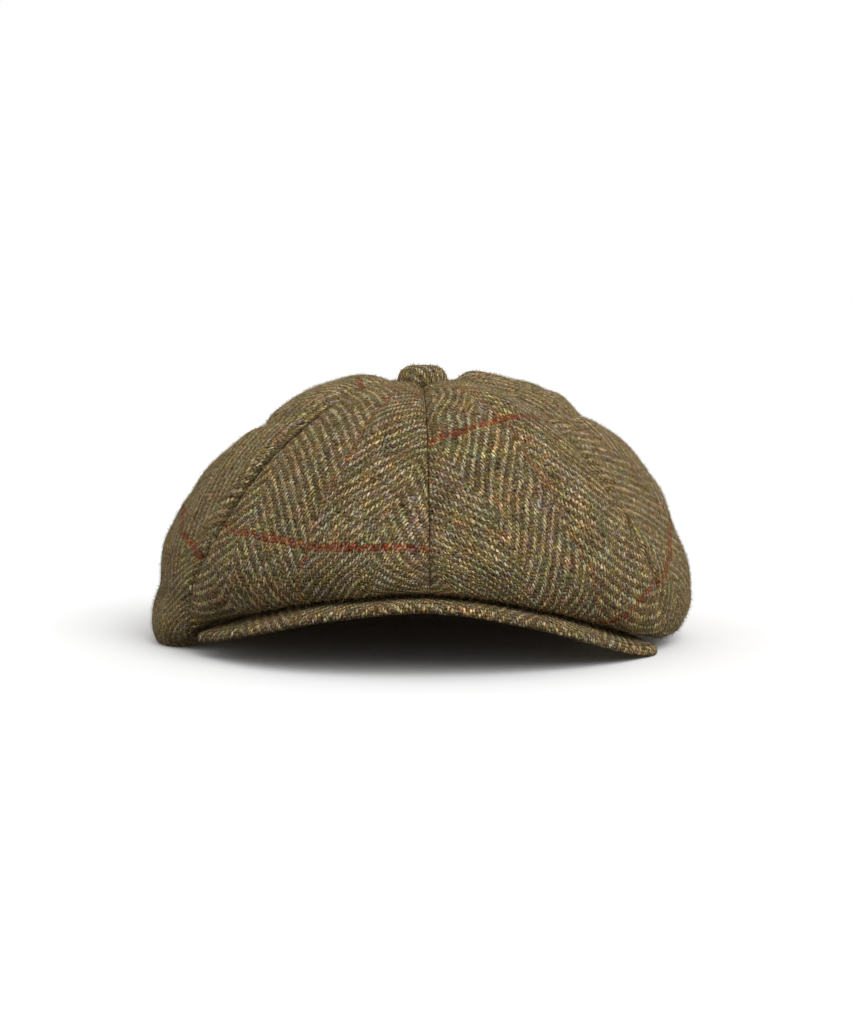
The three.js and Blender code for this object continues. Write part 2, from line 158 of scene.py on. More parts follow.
def curve(places, values, closed):
    """A smooth curve through the values, which joins itself when it goes all the way round."""
    x, y = np.array(places, float), np.array(values, float)
    h = np.diff(x)
    d = np.diff(y) / h
    m = np.empty(len(x))
    m[1:-1] = (h[1:] * d[:-1] + h[:-1] * d[1:]) / (h[:-1] + h[1:])
    m[0] = (h[0] * d[-1] + h[-1] * d[0]) / (h[-1] + h[0]) if closed else d[0]
    m[-1] = m[0] if closed else d[-1]

    def read(at):
        i = np.clip(np.searchsorted(x, at, side="right") - 1, 0, len(h) - 1)
        return cubic((at - x[i]) / h[i], y[i], m[i] * h[i], y[i + 1], m[i + 1] * h[i])

    return read


crown_way = [row[0] for row in CROWN]
upper_z, shoulder_z, reach, reach_z, roll, foot_z, hem_z = (
    curve(crown_way, [row[column] for row in CROWN], True) for column in range(1, 8)
)
peak_way = [row[0] for row in PEAK]
root_z, edge_way, edge_reach, edge_z = (
    curve(peak_way, [row[column] for row in PEAK], False) for column in range(1, 5)
)


def band_radius(way, extra=0):
    """Distance of the band's oval from the button's axis in a direction."""
    a, side, long = np.radians(way), BAND_SIDE + extra, BAND_LONG + extra
    return side * long / np.hypot(long * np.sin(a), side * np.cos(a))


def polar(way, r, z):
    """Points at a direction, a distance from the button's axis and a height."""
    a = np.radians(way)
    return np.stack([AXIS_X + r * np.sin(a), AXIS_Y - r * np.cos(a), z + 0 * a], -1)


def peak_middle(root, t):
    """Points of the peak's middle layer, from the band at t = 0 to the front edge at 1."""
    start = polar(root, band_radius(root) + GAP, root_z(root))
    end = polar(edge_way(root), edge_reach(root), edge_z(root))
    return start + (end - start) * np.asarray(t)[..., None]


def peak_cover(way, r):
    """Height of the peak's upper face under a point of the crown, falling away past its outline."""
    root = way
    for turn in range(COVER_ROUNDS):
        held = np.clip(root, -PEAK_END, PEAK_END)
        r0 = band_radius(held) + GAP
        t = (r - r0) / (edge_reach(held) - r0)
        root = way + (held - edge_way(held)) * np.clip(t, 0, 1)
    held = np.clip(root, -PEAK_END, PEAK_END)
    outside = np.radians(abs(root - held)) * r
    outside += np.maximum(0, t - 1) * (edge_reach(held) - band_radius(held))
    top = peak_middle(held, np.clip(t, 0, 1))[..., 2] + PEAK_THICK / 2
    return top - COVER_SLOPE * np.maximum(0, outside - COVER_EDGE)


def profile(way, s):
    """Distance and height of the crown before its fullness, seams and dents."""
    widest, rim_z = reach(way), reach_z(way)
    foot, low = widest - roll(way), foot_z(way)
    hem, hem_height = band_radius(way) + 2 * GAP, hem_z(way)
    high, shoulder = upper_z(way), shoulder_z(way)
    upper, under, one = WIDEST - UPPER, 1 - FOOT, np.ones(np.shape(way))
    place = np.array([0, UPPER, SHOULDER, WIDEST, FOOT, 1])
    radius = np.stack([0 * one, UPPER_R * one, SHOULDER_R * one, widest, foot, hem])
    height = np.stack([SEAT_Z * one, high, shoulder, rim_z, low, hem_height])
    spread = np.stack([
        TOP_SPREAD * one, SHOULDER_R / SHOULDER * one, ROUND_SHOULDER * (widest - UPPER_R) / upper,
        0 * one, -ROUND_FOLD * (widest - hem) / (1 - WIDEST), -(foot - hem) / under,
    ])
    fall = np.stack([
        0 * one, (shoulder - SEAT_Z) / SHOULDER, (rim_z - high) / upper,
        -ROUND_RIM * (rim_z - low) / (FOOT - WIDEST), 0 * one, ROUND_HEM * (hem_height - low) / under,
    ])
    i = np.clip(np.searchsorted(place, s, side="right") - 1, 0, 4)
    step = place[i + 1] - place[i]
    t = (s - place[i]) / step

    def between(value, slope):
        a, b = np.take_along_axis(value, i[None], 0)[0], np.take_along_axis(value, i[None] + 1, 0)[0]
        da, db = np.take_along_axis(slope, i[None], 0)[0], np.take_along_axis(slope, i[None] + 1, 0)[0]
        return cubic(t, a, da * step, b, db * step)

    return between(radius, spread), between(height, fall)


# The cloth has small folds all over: it puckers along the stitching and lies in soft waves between.
# The left side panel puffs over its front seam, which is tucked in and pulled open there.
PUCKER_HIGH, PUCKER_FROM_SEAM, PUCKER_WIDE = 0.30, 3.5, 4.0
PUCKER_PACE, PUCKER_DRIFT, PUCKER_STRAY = 0.82, 0.19, 1.7    # radians a millimetre, and radians
WAVE_HIGH, WAVE_CROSS, WAVE_CLEAR = 0.55, 0.6, 9
TUCK_DOWN, TUCK_LONG, TUCK_DEEP, TUCK_WIDE, TUCK_OPEN = 0.36, 0.20, 2.4, 2.4, 0.4
TUCK_PUFF, PUFF_FROM_SEAM, PUFF_WIDE = 1.3, 7, 5
TUCK_SHADE = 1.6             # mm beside the tucked seam over which painted shade darkens the wool


def tucked(k, w, s):
    """How much of that tuck there is, from 0 to 1, on either side of the seam."""
    beside = w > 0 if k == 2 else (w < 0) & (k == 3)
    return bell((s - TUCK_DOWN) / TUCK_LONG) * beside


def wrinkles(k, w, s, half, edge):
    """Height of the small folds, which start at another phase on each panel k."""
    along = s * TOP_SPREAD
    side = np.sign(w)
    stray = PUCKER_STRAY * np.sin(along * PUCKER_DRIFT + 2.1 * k)
    pucker = np.sin(along * PUCKER_PACE + stray + 2.6 * side)
    pucker *= PUCKER_HIGH * bell((edge - PUCKER_FROM_SEAM) / PUCKER_WIDE)
    waves = np.sin(w * half * 0.115 + along * 0.035 + 1.9 * k) * np.sin(along * 0.085 + 0.8 * k + w)
    waves += WAVE_CROSS * np.sin(w * half * 0.21 - along * 0.06 + 3.1 * k)
    loose = smooth((s - 0.12) / 0.25) * (1 - smooth((s - 0.74) / 0.08)) * (1 - bell(edge / WAVE_CLEAR))
    tuck = -TUCK_DEEP * bell(edge / TUCK_WIDE)
    tuck += (k == 2) * TUCK_PUFF * bell((edge - PUFF_FROM_SEAM) / PUFF_WIDE)
    return pucker * smooth((s - 0.03) / 0.06) + WAVE_HIGH * waves * loose + tuck * tucked(k, w, s)


def seam_way(k, s):
    """Direction of a seam at a share s of the way down to the hem."""
    turned = smooth((s - SEAM_FROM[k]) / (SEAM_TO[k] - SEAM_FROM[k]))
    return SEAM_AT_BUTTON[k] + (SEAM_AT_RIM[k] - SEAM_AT_BUTTON[k]) * turned


def crown_skin(k, w, s, fine=True):
    """Points of the outer face of panel k: w runs from -1 to 1 between its seams, s down to the hem."""
    w, s = np.broadcast_arrays(np.asarray(w, float), np.asarray(s, float))
    first, second = seam_way(k, s), seam_way(k + 1, s)
    way = (first + second) / 2 + w * (second - first) / 2
    held = np.clip(way, -180, 180)
    r, z = profile(held, s)
    ds = 0.001
    before, after = profile(held, np.maximum(0, s - ds)), profile(held, np.minimum(1, s + ds))
    dr, dz = after[0] - before[0], after[1] - before[1]
    length = np.hypot(dr, dz)
    half = r * np.radians(second - first) / 2
    edge = (1 - abs(w)) * half
    by_button = smooth((r - FLAT_R) / FLAT_FADE)
    above = 1 - smooth((s - WIDEST) / (FOOT - WIDEST))
    off = PUFF * (1 - np.exp(-half / PUFF_HALF)) * (1 - PUFF_FADE * smooth(s / WIDEST))
    off = off * (1 - w * w) * above * by_button
    off -= SEAM_DIP * bell(edge / SEAM_WIDTH) * by_button * (SEAM_HEM + (1 - SEAM_HEM) * above)
    for to_way, down, wide, long, height in DENTS:
        turn = (way - to_way + 540) % 360 - 180
        off += height * bell(turn / wide) * bell((s - down) / long)
    if fine:
        off += wrinkles(k, w, s, half, edge)
    r, z = r - dz / length * off, z + dr / length * off
    z = np.maximum(0, z - SEAT_DIP * bell(r / SEAT_DIP_R))
    least = peak_cover(way, r) + PEAK_CLEAR
    lifted = (z + least + np.hypot(z - least, REST_SOFT)) / 2
    rests = (s > WIDEST) & (abs(way) < 90) & (least > z - 8 * REST_SOFT)
    return polar(way, r, np.where(rests, lifted, z))


def skin_normal(k, w, s):
    """Direction out of the skin, taken a little inside the seams."""
    inside, dw, ds = 0.93, 0.02, 0.004
    at = np.clip(w, -inside, inside)
    across = crown_skin(k, at + dw, s, False) - crown_skin(k, at - dw, s, False)
    below, over = np.minimum(1, s + ds), np.maximum(HOLE_S, s - ds)
    down = crown_skin(k, at, below, False) - crown_skin(k, at, over, False)
    normal = np.cross(down, across)
    return normal / np.linalg.norm(normal, axis=-1, keepdims=True)


def edge_normal(k, w, s):
    """As skin_normal, but the same for both panels on the seam that they share."""
    own = skin_normal(k, w, s)
    side = np.where(w > 0, 1, -1)[..., None]
    other = np.where(side > 0, skin_normal((k + 1) % 8, -w, s), skin_normal((k - 1) % 8, -w, s))
    shared = own + other
    shared /= np.linalg.norm(shared, axis=-1, keepdims=True)
    return np.where(abs(np.abs(w) - 1)[..., None] < 1e-6, shared, own)


# The cloth is a heavy herringbone tweed: pale olive warp, dark brown weft and flecks of every
# colour spun in, with a thin red check. All its sizes are in threads, which the weave map counts.
WARP_STEP, WEFT_STEP = 1.30, 1.74   # mm from one thread to the next
COLUMN = 27                         # warp threads in each column of the herringbone
WARP_CHECK, WEFT_CHECK = 81, 62     # threads between the check's lines
WARP_APART, WEFT_APART = 7.31, 5.77 # how unlike one another neighbouring threads are
YARN_CHANGE = 0.45                  # how fast a yarn changes colour along its length
WANDER, DRIFT_ACROSS, DRIFT_ALONG = 1.5, 5.0, 4.0   # threads


def feed(tree, socket, value):
    """Gives a socket a number, a colour or another node's result."""
    if isinstance(value, bpy.types.NodeSocket):
        tree.links.new(value, socket)
    elif isinstance(value, tuple):
        socket.default_value = (*value, 1)
    else:
        socket.default_value = value


def add_math(tree, operation, *values):
    """A math node's result, from numbers and other nodes' results."""
    node = tree.nodes.new("ShaderNodeMath")
    node.operation = operation
    for socket, value in zip(node.inputs, values):
        feed(tree, socket, value)
    return node.outputs[0]


def add_point(tree, x, y, z=0.0):
    """A point from three numbers or other nodes' results."""
    node = tree.nodes.new("ShaderNodeCombineXYZ")
    for socket, value in zip(node.inputs, (x, y, z)):
        feed(tree, socket, value)
    return node.outputs[0]


def add_noise(tree, point, scale, detail=0.0, roughness=0.5):
    """A noise texture's value at a point."""
    node = tree.nodes.new("ShaderNodeTexNoise")
    node.inputs["Scale"].default_value = scale
    node.inputs["Detail"].default_value = detail
    node.inputs["Roughness"].default_value = roughness
    tree.links.new(point, node.inputs["Vector"])
    return node.outputs["Fac"]


def add_chance(tree, point):
    """A value from 0 to 1 and a colour by chance, the same ones for the same point."""
    node = tree.nodes.new("ShaderNodeTexWhiteNoise")
    tree.links.new(point, node.inputs["Vector"])
    return node.outputs["Value"], node.outputs["Color"]


def add_ramp(tree, value, stops, blend="LINEAR"):
    """A colour for each value, from (place, (red, green, blue)) stops."""
    node = tree.nodes.new("ShaderNodeValToRGB")
    node.color_ramp.interpolation = blend
    while len(node.color_ramp.elements) < len(stops):
        node.color_ramp.elements.new(0.5)
    for element, (place, colour) in zip(node.color_ramp.elements, stops):
        element.position = place
        element.color = (*colour, 1)
    tree.links.new(value, node.inputs["Fac"])
    return node.outputs["Color"]


def add_mix(tree, share, first, second, blend="MIX"):
    """Two colours mixed, where each may be a colour or another node's result."""
    node = tree.nodes.new("ShaderNodeMix")
    node.data_type = "RGBA"
    node.blend_type = blend
    for socket, value in zip((node.inputs[0], node.inputs[6], node.inputs[7]), (share, first, second)):
        feed(tree, socket, value)
    return node.outputs[2]


def linear(red, green, blue):
    """A colour given in the 0 to 255 of a picture, as the light that it stands for."""
    shares = (channel / 255 for channel in (red, green, blue))
    return tuple(c / 12.92 if c <= 0.04045 else ((c + 0.055) / 1.055) ** 2.4 for c in shares)


def new_material(name, roughness, sheen, sheen_tint):
    """A material with its shader, ready for a colour and a bump."""
    material = bpy.data.materials.new(name)
    material.use_nodes = True
    shader = material.node_tree.nodes["Principled BSDF"]
    shader.inputs["Roughness"].default_value = roughness
    shader.inputs["Specular IOR Level"].default_value = 0.06
    shader.inputs["Sheen Weight"].default_value = sheen
    shader.inputs["Sheen Roughness"].default_value = 0.45
    shader.inputs["Sheen Tint"].default_value = (*sheen_tint, 1)
    return material, material.node_tree, shader


def add_bump(tree, shader, height, distance, strength):
    """Gives a shader a relief, whose height of 1 stands for a distance in metres."""
    node = tree.nodes.new("ShaderNodeBump")
    node.inputs["Distance"].default_value = distance
    node.inputs["Strength"].default_value = strength
    tree.links.new(height, node.inputs["Height"])
    tree.links.new(node.outputs["Normal"], shader.inputs["Normal"])


PALE_YARN = [
    (0.34, linear(126, 106, 74)),
    (0.43, linear(168, 146, 108)),
    (0.48, linear(182, 169, 137)),
    (0.53, linear(158, 143, 100)),
    (0.60, linear(192, 179, 149)),
    (0.68, linear(144, 134, 106)),
]
DARK_YARN = [
    (0.34, linear(64, 48, 40)),
    (0.43, linear(95, 76, 46)),
    (0.48, linear(78, 70, 53)),
    (0.53, linear(104, 78, 52)),
    (0.60, linear(72, 62, 38)),
    (0.68, linear(92, 77, 74)),
]
FLECKS = [
    (0.0, linear(96, 120, 122)),
    (0.14, linear(190, 160, 78)),
    (0.34, linear(128, 140, 84)),
    (0.54, linear(158, 112, 74)),
    (0.68, linear(110, 94, 114)),
    (0.80, linear(200, 188, 158)),
    (0.92, linear(140, 84, 68)),
]
# The raised nap's colours, paler than the yarns: partly the real nap and partly painted sheen.
NAP_AND_SHEEN_COLOURS = [
    (0.42, linear(36, 24, 13)),
    (0.46, linear(150, 114, 72)),
    (0.495, linear(206, 172, 116)),
    (0.525, linear(134, 110, 70)),
    (0.57, linear(255, 236, 194)),
]
HEATHER = [(0.36, (1.12, 0.96, 0.78)), (0.5, (0.97, 0.98, 1.0)), (0.64, (0.88, 0.99, 1.22))]
MOSS = [(0.36, (0.90, 1.05, 0.86)), (0.5, (0.98, 1.0, 0.98)), (0.64, (1.08, 0.95, 1.06))]
WARP_CHECK_RED, WEFT_CHECK_RED = linear(160, 86, 44), linear(140, 48, 34)
# Painted shade: how much darker the hollows between the yarns are, and how much lighter their crowns, by the
# weave's height.
PAINTED_HOLLOW_SHADE = [(0.0, (0.10, 0.07, 0.04)), (0.3, (0.46, 0.41, 0.34)),
                (0.62, (1.08, 1.06, 1.04)), (0.96, (1.20, 1.19, 1.20))]


def pick(tree, choice, first, second):
    """The first value where the choice is 0 and the second where it is 1."""
    return add_math(tree, "MULTIPLY_ADD", choice, add_math(tree, "SUBTRACT", second, first), first)


def grey(*places):
    """Stops of a ramp that only darkens or lightens what it is multiplied with."""
    return [(place, (share, share, share)) for place, share in places]


def add_shade(tree, colour, value, stops):
    """A colour multiplied by a ramp's colour for a value."""
    return add_mix(tree, 1.0, colour, add_ramp(tree, value, stops), "MULTIPLY")


def wandering_threads(tree, cloth):
    """Places across and along the cloth in threads, which wander and are never quite straight."""
    split = tree.nodes.new("ShaderNodeSeparateXYZ")
    tree.links.new(cloth, split.inputs[0])
    uneven = add_noise(tree, cloth, 0.62, 2.0)
    drift = add_noise(tree, cloth, 0.05, 1.0)
    shift = add_math(tree, "MULTIPLY_ADD", uneven, WANDER, add_math(tree, "MULTIPLY", drift, DRIFT_ACROSS))
    shift = add_math(tree, "SUBTRACT", shift, (DRIFT_ACROSS + WANDER) / 2)
    across = add_math(tree, "ADD", split.outputs[0], shift)
    shift = add_math(tree, "MULTIPLY_ADD", uneven, -WANDER, add_math(tree, "MULTIPLY", drift, DRIFT_ALONG))
    shift = add_math(tree, "SUBTRACT", shift, (DRIFT_ALONG - WANDER) / 2)
    along = add_math(tree, "ADD", split.outputs[1], shift)
    return across, along


def herringbone(tree, across, along):
    """Warp and weft thread at a place, its step in the twill, whether the warp is on top, and height."""
    warp, in_warp = add_math(tree, "FLOOR", across), add_math(tree, "FRACT", across)
    weft, in_weft = add_math(tree, "FLOOR", along), add_math(tree, "FRACT", along)
    column = add_math(tree, "FLOOR", add_math(tree, "DIVIDE", warp, COLUMN))
    turned = add_math(tree, "FLOORED_MODULO", column, 2.0)
    lean = add_math(tree, "MULTIPLY_ADD", turned, -2.0, 1.0)
    step = add_math(tree, "MULTIPLY_ADD", warp, lean, weft)
    order = add_math(tree, "FLOORED_MODULO", step, 4.0)
    warp_on_top = add_math(tree, "LESS_THAN", order, 1.5)

    # how far along its float the upper thread is, and how far it is from its own middle
    warp_run = add_math(tree, "MULTIPLY", add_math(tree, "ADD", order, in_weft), 0.5)
    lean_in_warp = add_math(tree, "MULTIPLY_ADD", in_warp, lean, turned)
    weft_run = add_math(tree, "MULTIPLY_ADD", add_math(tree, "ADD", order, lean_in_warp), 0.5, -1.0)
    run = pick(tree, warp_on_top, weft_run, warp_run)
    side = pick(tree, warp_on_top, in_weft, in_warp)
    off_middle = add_math(tree, "ABSOLUTE", add_math(tree, "MULTIPLY_ADD", side, 2.0, -1.0))
    rounded = add_math(tree, "SUBTRACT", 1.0, add_math(tree, "POWER", off_middle, 2.5))
    arch = add_math(tree, "SINE", add_math(tree, "MULTIPLY", run, math.pi))
    height = add_math(tree, "MULTIPLY", rounded, add_math(tree, "MULTIPLY_ADD", arch, 0.75, 0.25))
    return warp, weft, step, warp_on_top, height


def wool_of_float(tree, across, along, thread, step, warp_on_top):
    """A float's own shade by chance, how much it is a tuft of another wool, and that wool's colour."""
    float_number = add_math(tree, "FLOOR", add_math(tree, "MULTIPLY", step, 0.25))
    chance, other_chance = add_chance(tree, add_point(tree, thread, float_number, warp_on_top))
    parts = tree.nodes.new("ShaderNodeSeparateColor")
    tree.links.new(other_chance, parts.inputs[0])
    patch_point = add_point(tree, add_math(tree, "MULTIPLY", across, 0.9), along, 3.0)
    tufts = add_math(tree, "MULTIPLY_ADD", add_noise(tree, patch_point, 0.3, 2.0, 0.7), 1.6,
                     add_math(tree, "MULTIPLY", parts.outputs[0], 0.5))
    tufts = add_ramp(tree, tufts, grey((0.94, 0.0), (1.0, 0.26)))
    hue = add_math(tree, "MULTIPLY_ADD", add_noise(tree, patch_point, 0.21, 0.0), 1.5,
                   add_math(tree, "MULTIPLY_ADD", parts.outputs[1], 0.5, -0.5))
    return chance, tufts, add_ramp(tree, hue, FLECKS, "CONSTANT")


def tweed_material(name, nap_and_sheen_cover):
    """The tweed, where the number given is how much of its weave the raised nap hides; the nap's pale colour
    is partly painted sheen.
    """
    material, tree, shader = new_material(name, 0.95, 0.15, linear(200, 170, 112))
    weave = tree.nodes.new("ShaderNodeUVMap")
    weave.uv_map = "weave"
    cloth = weave.outputs["UV"]
    across, along = wandering_threads(tree, cloth)
    warp, weft, step, warp_on_top, height = herringbone(tree, across, along)

    # both yarns change colour along their length
    warp_point = add_point(tree, add_math(tree, "MULTIPLY", warp, WARP_APART),
                           add_math(tree, "MULTIPLY", along, YARN_CHANGE))
    weft_point = add_point(tree, add_math(tree, "MULTIPLY", across, YARN_CHANGE),
                           add_math(tree, "MULTIPLY", weft, WEFT_APART))
    pale = add_ramp(tree, add_noise(tree, warp_point, 1.0, 3.0, 0.6), PALE_YARN)
    dark = add_ramp(tree, add_noise(tree, weft_point, 1.0, 3.0, 0.6), DARK_YARN)
    yarn = add_mix(tree, warp_on_top, dark, pale)

    in_warp_check = add_math(tree, "LESS_THAN", add_math(tree, "FLOORED_MODULO", warp, WARP_CHECK), 1.5)
    shows = add_math(tree, "MULTIPLY", in_warp_check, pick(tree, warp_on_top, 0.35, 0.9))
    spots = add_noise(tree, add_point(tree, warp, add_math(tree, "MULTIPLY", along, 0.16), 11.0), 1.0, 2.0)
    spots = add_ramp(tree, spots, grey((0.40, 0.15), (0.55, 1.0)))
    yarn = add_mix(tree, add_math(tree, "MULTIPLY", shows, spots), yarn, WARP_CHECK_RED)
    in_weft_check = add_math(tree, "LESS_THAN", add_math(tree, "FLOORED_MODULO", weft, WEFT_CHECK), 1.5)
    shows = add_math(tree, "MULTIPLY", in_weft_check, pick(tree, warp_on_top, 0.95, 0.5))
    yarn = add_mix(tree, shows, yarn, WEFT_CHECK_RED)

    # each float differs from its neighbours, and some are tufts of another wool
    thread = pick(tree, warp_on_top, weft, warp)
    chance, tufts, fleck = wool_of_float(tree, across, along, thread, step, warp_on_top)
    yarn = add_shade(tree, yarn, chance, grey((0.0, 0.66), (1.0, 1.30)))
    yarn = add_mix(tree, tufts, yarn, fleck)

    # the fibres of each yarn, painted shade in the hollows between yarns, and the cloth's slow random drift
    # of tone and hue
    streak_point = add_point(tree, add_math(tree, "MULTIPLY", across, 2.6),
                             add_math(tree, "MULTIPLY", along, 0.8), 7.0)
    streaks = add_noise(tree, streak_point, 1.0, 2.0, 0.6)
    grain = pick(tree, 0.4, streaks, add_noise(tree, cloth, 1.8, 3.0, 0.7))
    yarn = add_shade(tree, yarn, grain, grey((0.42, 0.04), (0.5, 0.92), (0.61, 1.75)))
    yarn = add_shade(tree, yarn, height, PAINTED_HOLLOW_SHADE)
    clouds = add_noise(tree, cloth, 0.16, 2.0)
    yarn = add_shade(tree, yarn, clouds, grey((0.36, 0.70), (0.64, 1.32)))
    heather = add_noise(tree, add_point(tree, across, along, 19.0), 0.17, 2.0, 0.65)
    yarn = add_shade(tree, yarn, heather, HEATHER)
    moss = add_noise(tree, add_point(tree, along, across, 37.0), 0.2, 2.0, 0.65)
    yarn = add_shade(tree, yarn, moss, MOSS)

    # the raised nap lies over the yarns, and the check shows through it; its pale colour is partly real nap
    # and partly painted sheen
    nap_and_sheen = add_ramp(tree, pick(tree, 0.5, streaks, add_noise(tree, cloth, 1.5, 2.0, 0.7)), NAP_AND_SHEEN_COLOURS)
    nap_and_sheen = add_mix(tree, tufts, nap_and_sheen, fleck)
    nap_and_sheen = add_mix(tree, add_math(tree, "MULTIPLY", in_weft_check, 0.6), nap_and_sheen, WEFT_CHECK_RED)
    nap_and_sheen_stops = grey((0.38, 0.75 * nap_and_sheen_cover), (0.6, 1.2 * nap_and_sheen_cover))
    nap_and_sheen_share = add_ramp(tree, add_noise(tree, cloth, 0.11, 2.0), nap_and_sheen_stops)
    yarn = add_mix(tree, nap_and_sheen_share, yarn, nap_and_sheen)

    # painted shade: deep in the tucked seam's crease the wool's colour is darkened, unevenly where its
    # fibres cross over
    painted_crease_shade = tree.nodes.new("ShaderNodeAttribute")
    painted_crease_shade.attribute_name = "painted_crease_shade"
    ragged = add_math(tree, "MULTIPLY_ADD", grain, 3.0, -0.5)
    painted_shade = add_math(tree, "MULTIPLY", painted_crease_shade.outputs["Fac"], ragged)
    yarn = add_shade(tree, yarn, painted_shade, grey((0.10, 1.0), (0.65, 0.08)))
    tree.links.new(yarn, shader.inputs["Base Color"])
    relief = add_math(tree, "MULTIPLY_ADD", grain, 0.9, height)
    add_bump(tree, shader, relief, 0.0006, 0.9)
    return material


# The sides, back and button get more of the pale nap, and so more painted sheen as well as nap.
tweed = tweed_material("herringbone tweed", 0.14)
sheen_brushed_tweed = tweed_material("brushed tweed", 0.24)


# The eight panels are cut from the cloth with its warp down the middle of each, and sewn to one
# another from the button to the hem. Each one is the cloth's own thickness, edges and all.
PANEL_NAMES = ("back_left", "rear_side_left", "side_left", "front_left",
               "front_right", "side_right", "rear_side_right", "back_right")
CLOTH = 1.5
ROWS, COLUMNS = 170, 64
CROWDING = 1.3               # how much closer the columns stand towards the seams

# How each panel was laid on the cloth: turns of its warp and its weft in degrees, which differ
# where the cloth is pulled askew, the weft's bow, how the warp spreads towards the side, then
# threads across and along.
SPREAD_FROM = 10
LAYS = {
    "back_left": (10, 4, 0, 0, 12, -60),
    "rear_side_left": (14, 10, 0, 0, 20, -30),
    "side_left": (16, 20, 0, 0, 0, -79.8),
    "front_left": (-2.5, 12, 0.0040, -0.004, -4, -91.4),
    "front_right": (-7, -17, 0.00425, 0.004, 94.6, -53.2),
    "side_right": (-18, -35, 0, 0, 40, -70.6),
    "rear_side_right": (-14, -20, 0, 0, 10, -20),
    "back_right": (-10, -14, 0, 0, 34, -50),
}


def closed_shell(outer, inner):
    """Faces of a closed shell between two grids of points of the same size."""
    rows, columns = outer.shape[:2]
    o = np.arange(rows * columns).reshape(rows, columns)
    q = o + rows * columns

    def quads(a, b, c, d):
        return np.stack([a, b, c, d], -1).reshape(-1, 4)

    faces = np.concatenate([
        quads(o[:-1, :-1], o[1:, :-1], o[1:, 1:], o[:-1, 1:]),
        quads(q[:-1, :-1], q[:-1, 1:], q[1:, 1:], q[1:, :-1]),
        quads(o[:-1, 0], q[:-1, 0], q[1:, 0], o[1:, 0]),
        quads(o[:-1, -1], o[1:, -1], q[1:, -1], q[:-1, -1]),
        quads(o[0, :-1], o[0, 1:], q[0, 1:], q[0, :-1]),
        quads(o[-1, :-1], q[-1, :-1], q[-1, 1:], o[-1, 1:]),
    ])
    return np.concatenate([outer.reshape(-1, 3), inner.reshape(-1, 3)]), faces


def make_piece(name, points, faces, material, weave=None, nodes=(), painted_crease_shade=None):
    """A smooth mesh from points in millimetres, on the cap's one body."""
    mesh = bpy.data.meshes.new(name)
    mesh.from_pydata((points / 1000).tolist(), [], faces.tolist())
    mesh.shade_smooth()
    mesh.materials.append(material)
    if weave is not None:
        corners = np.empty(len(mesh.loops), np.int32)
        mesh.loops.foreach_get("vertex_index", corners)
        mesh.uv_layers.new(name="weave").data.foreach_set("uv", weave[corners].astype(np.float32).ravel())
    # painted shade for the tucked seam's crease, kept as a point attribute that darkens the cloth's colour
    if painted_crease_shade is not None:
        mesh.attributes.new("painted_crease_shade", "FLOAT", "POINT").data.foreach_set("value", painted_crease_shade.astype(np.float32))
    piece = bpy.data.objects.new(name, mesh)
    bpy.context.scene.collection.objects.link(piece)
    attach(piece, "root")
    if nodes:
        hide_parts(*nodes)
    return piece


def lay_flat(lay, w, s, skin):
    """The weave's threads at each point of a panel, as if it were laid flat on the cloth."""
    warp_turn, weft_turn, bow, spread, threads_across, threads_along = lay
    step = np.linalg.norm(np.diff(skin, axis=1), axis=-1)
    u = np.concatenate([np.zeros((len(s), 1)), np.cumsum(step, 1)], 1)
    middle = w.shape[1] // 2
    u = u - u[:, middle:middle + 1]
    centre = skin[:, middle]
    fall = np.concatenate([[0], np.cumsum(np.linalg.norm(np.diff(centre, axis=0), axis=-1))])
    v = fall[:, None] + np.hypot(centre[0, 0] - AXIS_X, centre[0, 1] - AXIS_Y)
    r = np.hypot(centre[:, 0] - AXIS_X, centre[:, 1] - AXIS_Y)
    bend = np.gradient(r, fall)[:, None] / r[:, None]
    bend = np.where(abs(bend) < 1e-5, 1e-5, bend)
    v = v - (1 - np.cos(bend * u)) / bend
    u = np.sin(bend * u) / bend
    a, b = math.radians(warp_turn), math.radians(weft_turn)
    eased = spread * np.maximum(0, np.sign(spread) * u + SPREAD_FROM) ** 2
    return np.stack([(math.cos(a) * u + math.sin(a) * v - eased) / WARP_STEP + threads_across,
                     (math.cos(b) * v - math.sin(b) * u + bow * u * u) / WEFT_STEP + threads_along], -1)


share = np.linspace(-1, 1, COLUMNS + 1)
panel_w = np.sign(share) * (1 - (1 - abs(share)) ** CROWDING)
panel_s = np.linspace(HOLE_S, 1, ROWS)
skins, normals = [], []
for k, name in enumerate(PANEL_NAMES):
    w, s = np.meshgrid(panel_w, panel_s)
    half = np.linalg.norm(crown_skin(k, 1, panel_s) - crown_skin(k, -1, panel_s), axis=-1)[:, None] / 2
    tuck = tucked(k, w, s)
    outer = crown_skin(k, w * (1 - (GAP + TUCK_OPEN * tuck) / 2 / half), s)
    # painted shade along the tucked seam, darkest at the panel's edge
    painted_crease_shade = (tuck * bell((1 - abs(w)) * half / TUCK_SHADE)).ravel()
    normal = edge_normal(k, w, s)
    inner = outer - normal * CLOTH
    weave = lay_flat(LAYS[name], w, s, outer).reshape(-1, 2)
    points, faces = closed_shell(outer, inner)
    # the sides and back take the cloth with more pale nap, which is partly painted sheen
    cloth = tweed if "front" in name else sheen_brushed_tweed
    make_piece("panel_" + name + "_cloth", points, faces, cloth,
               np.concatenate([weave, weave]), ["panel_" + name], np.concatenate([painted_crease_shade, painted_crease_shade]))
    skins.append(outer)
    normals.append(normal)


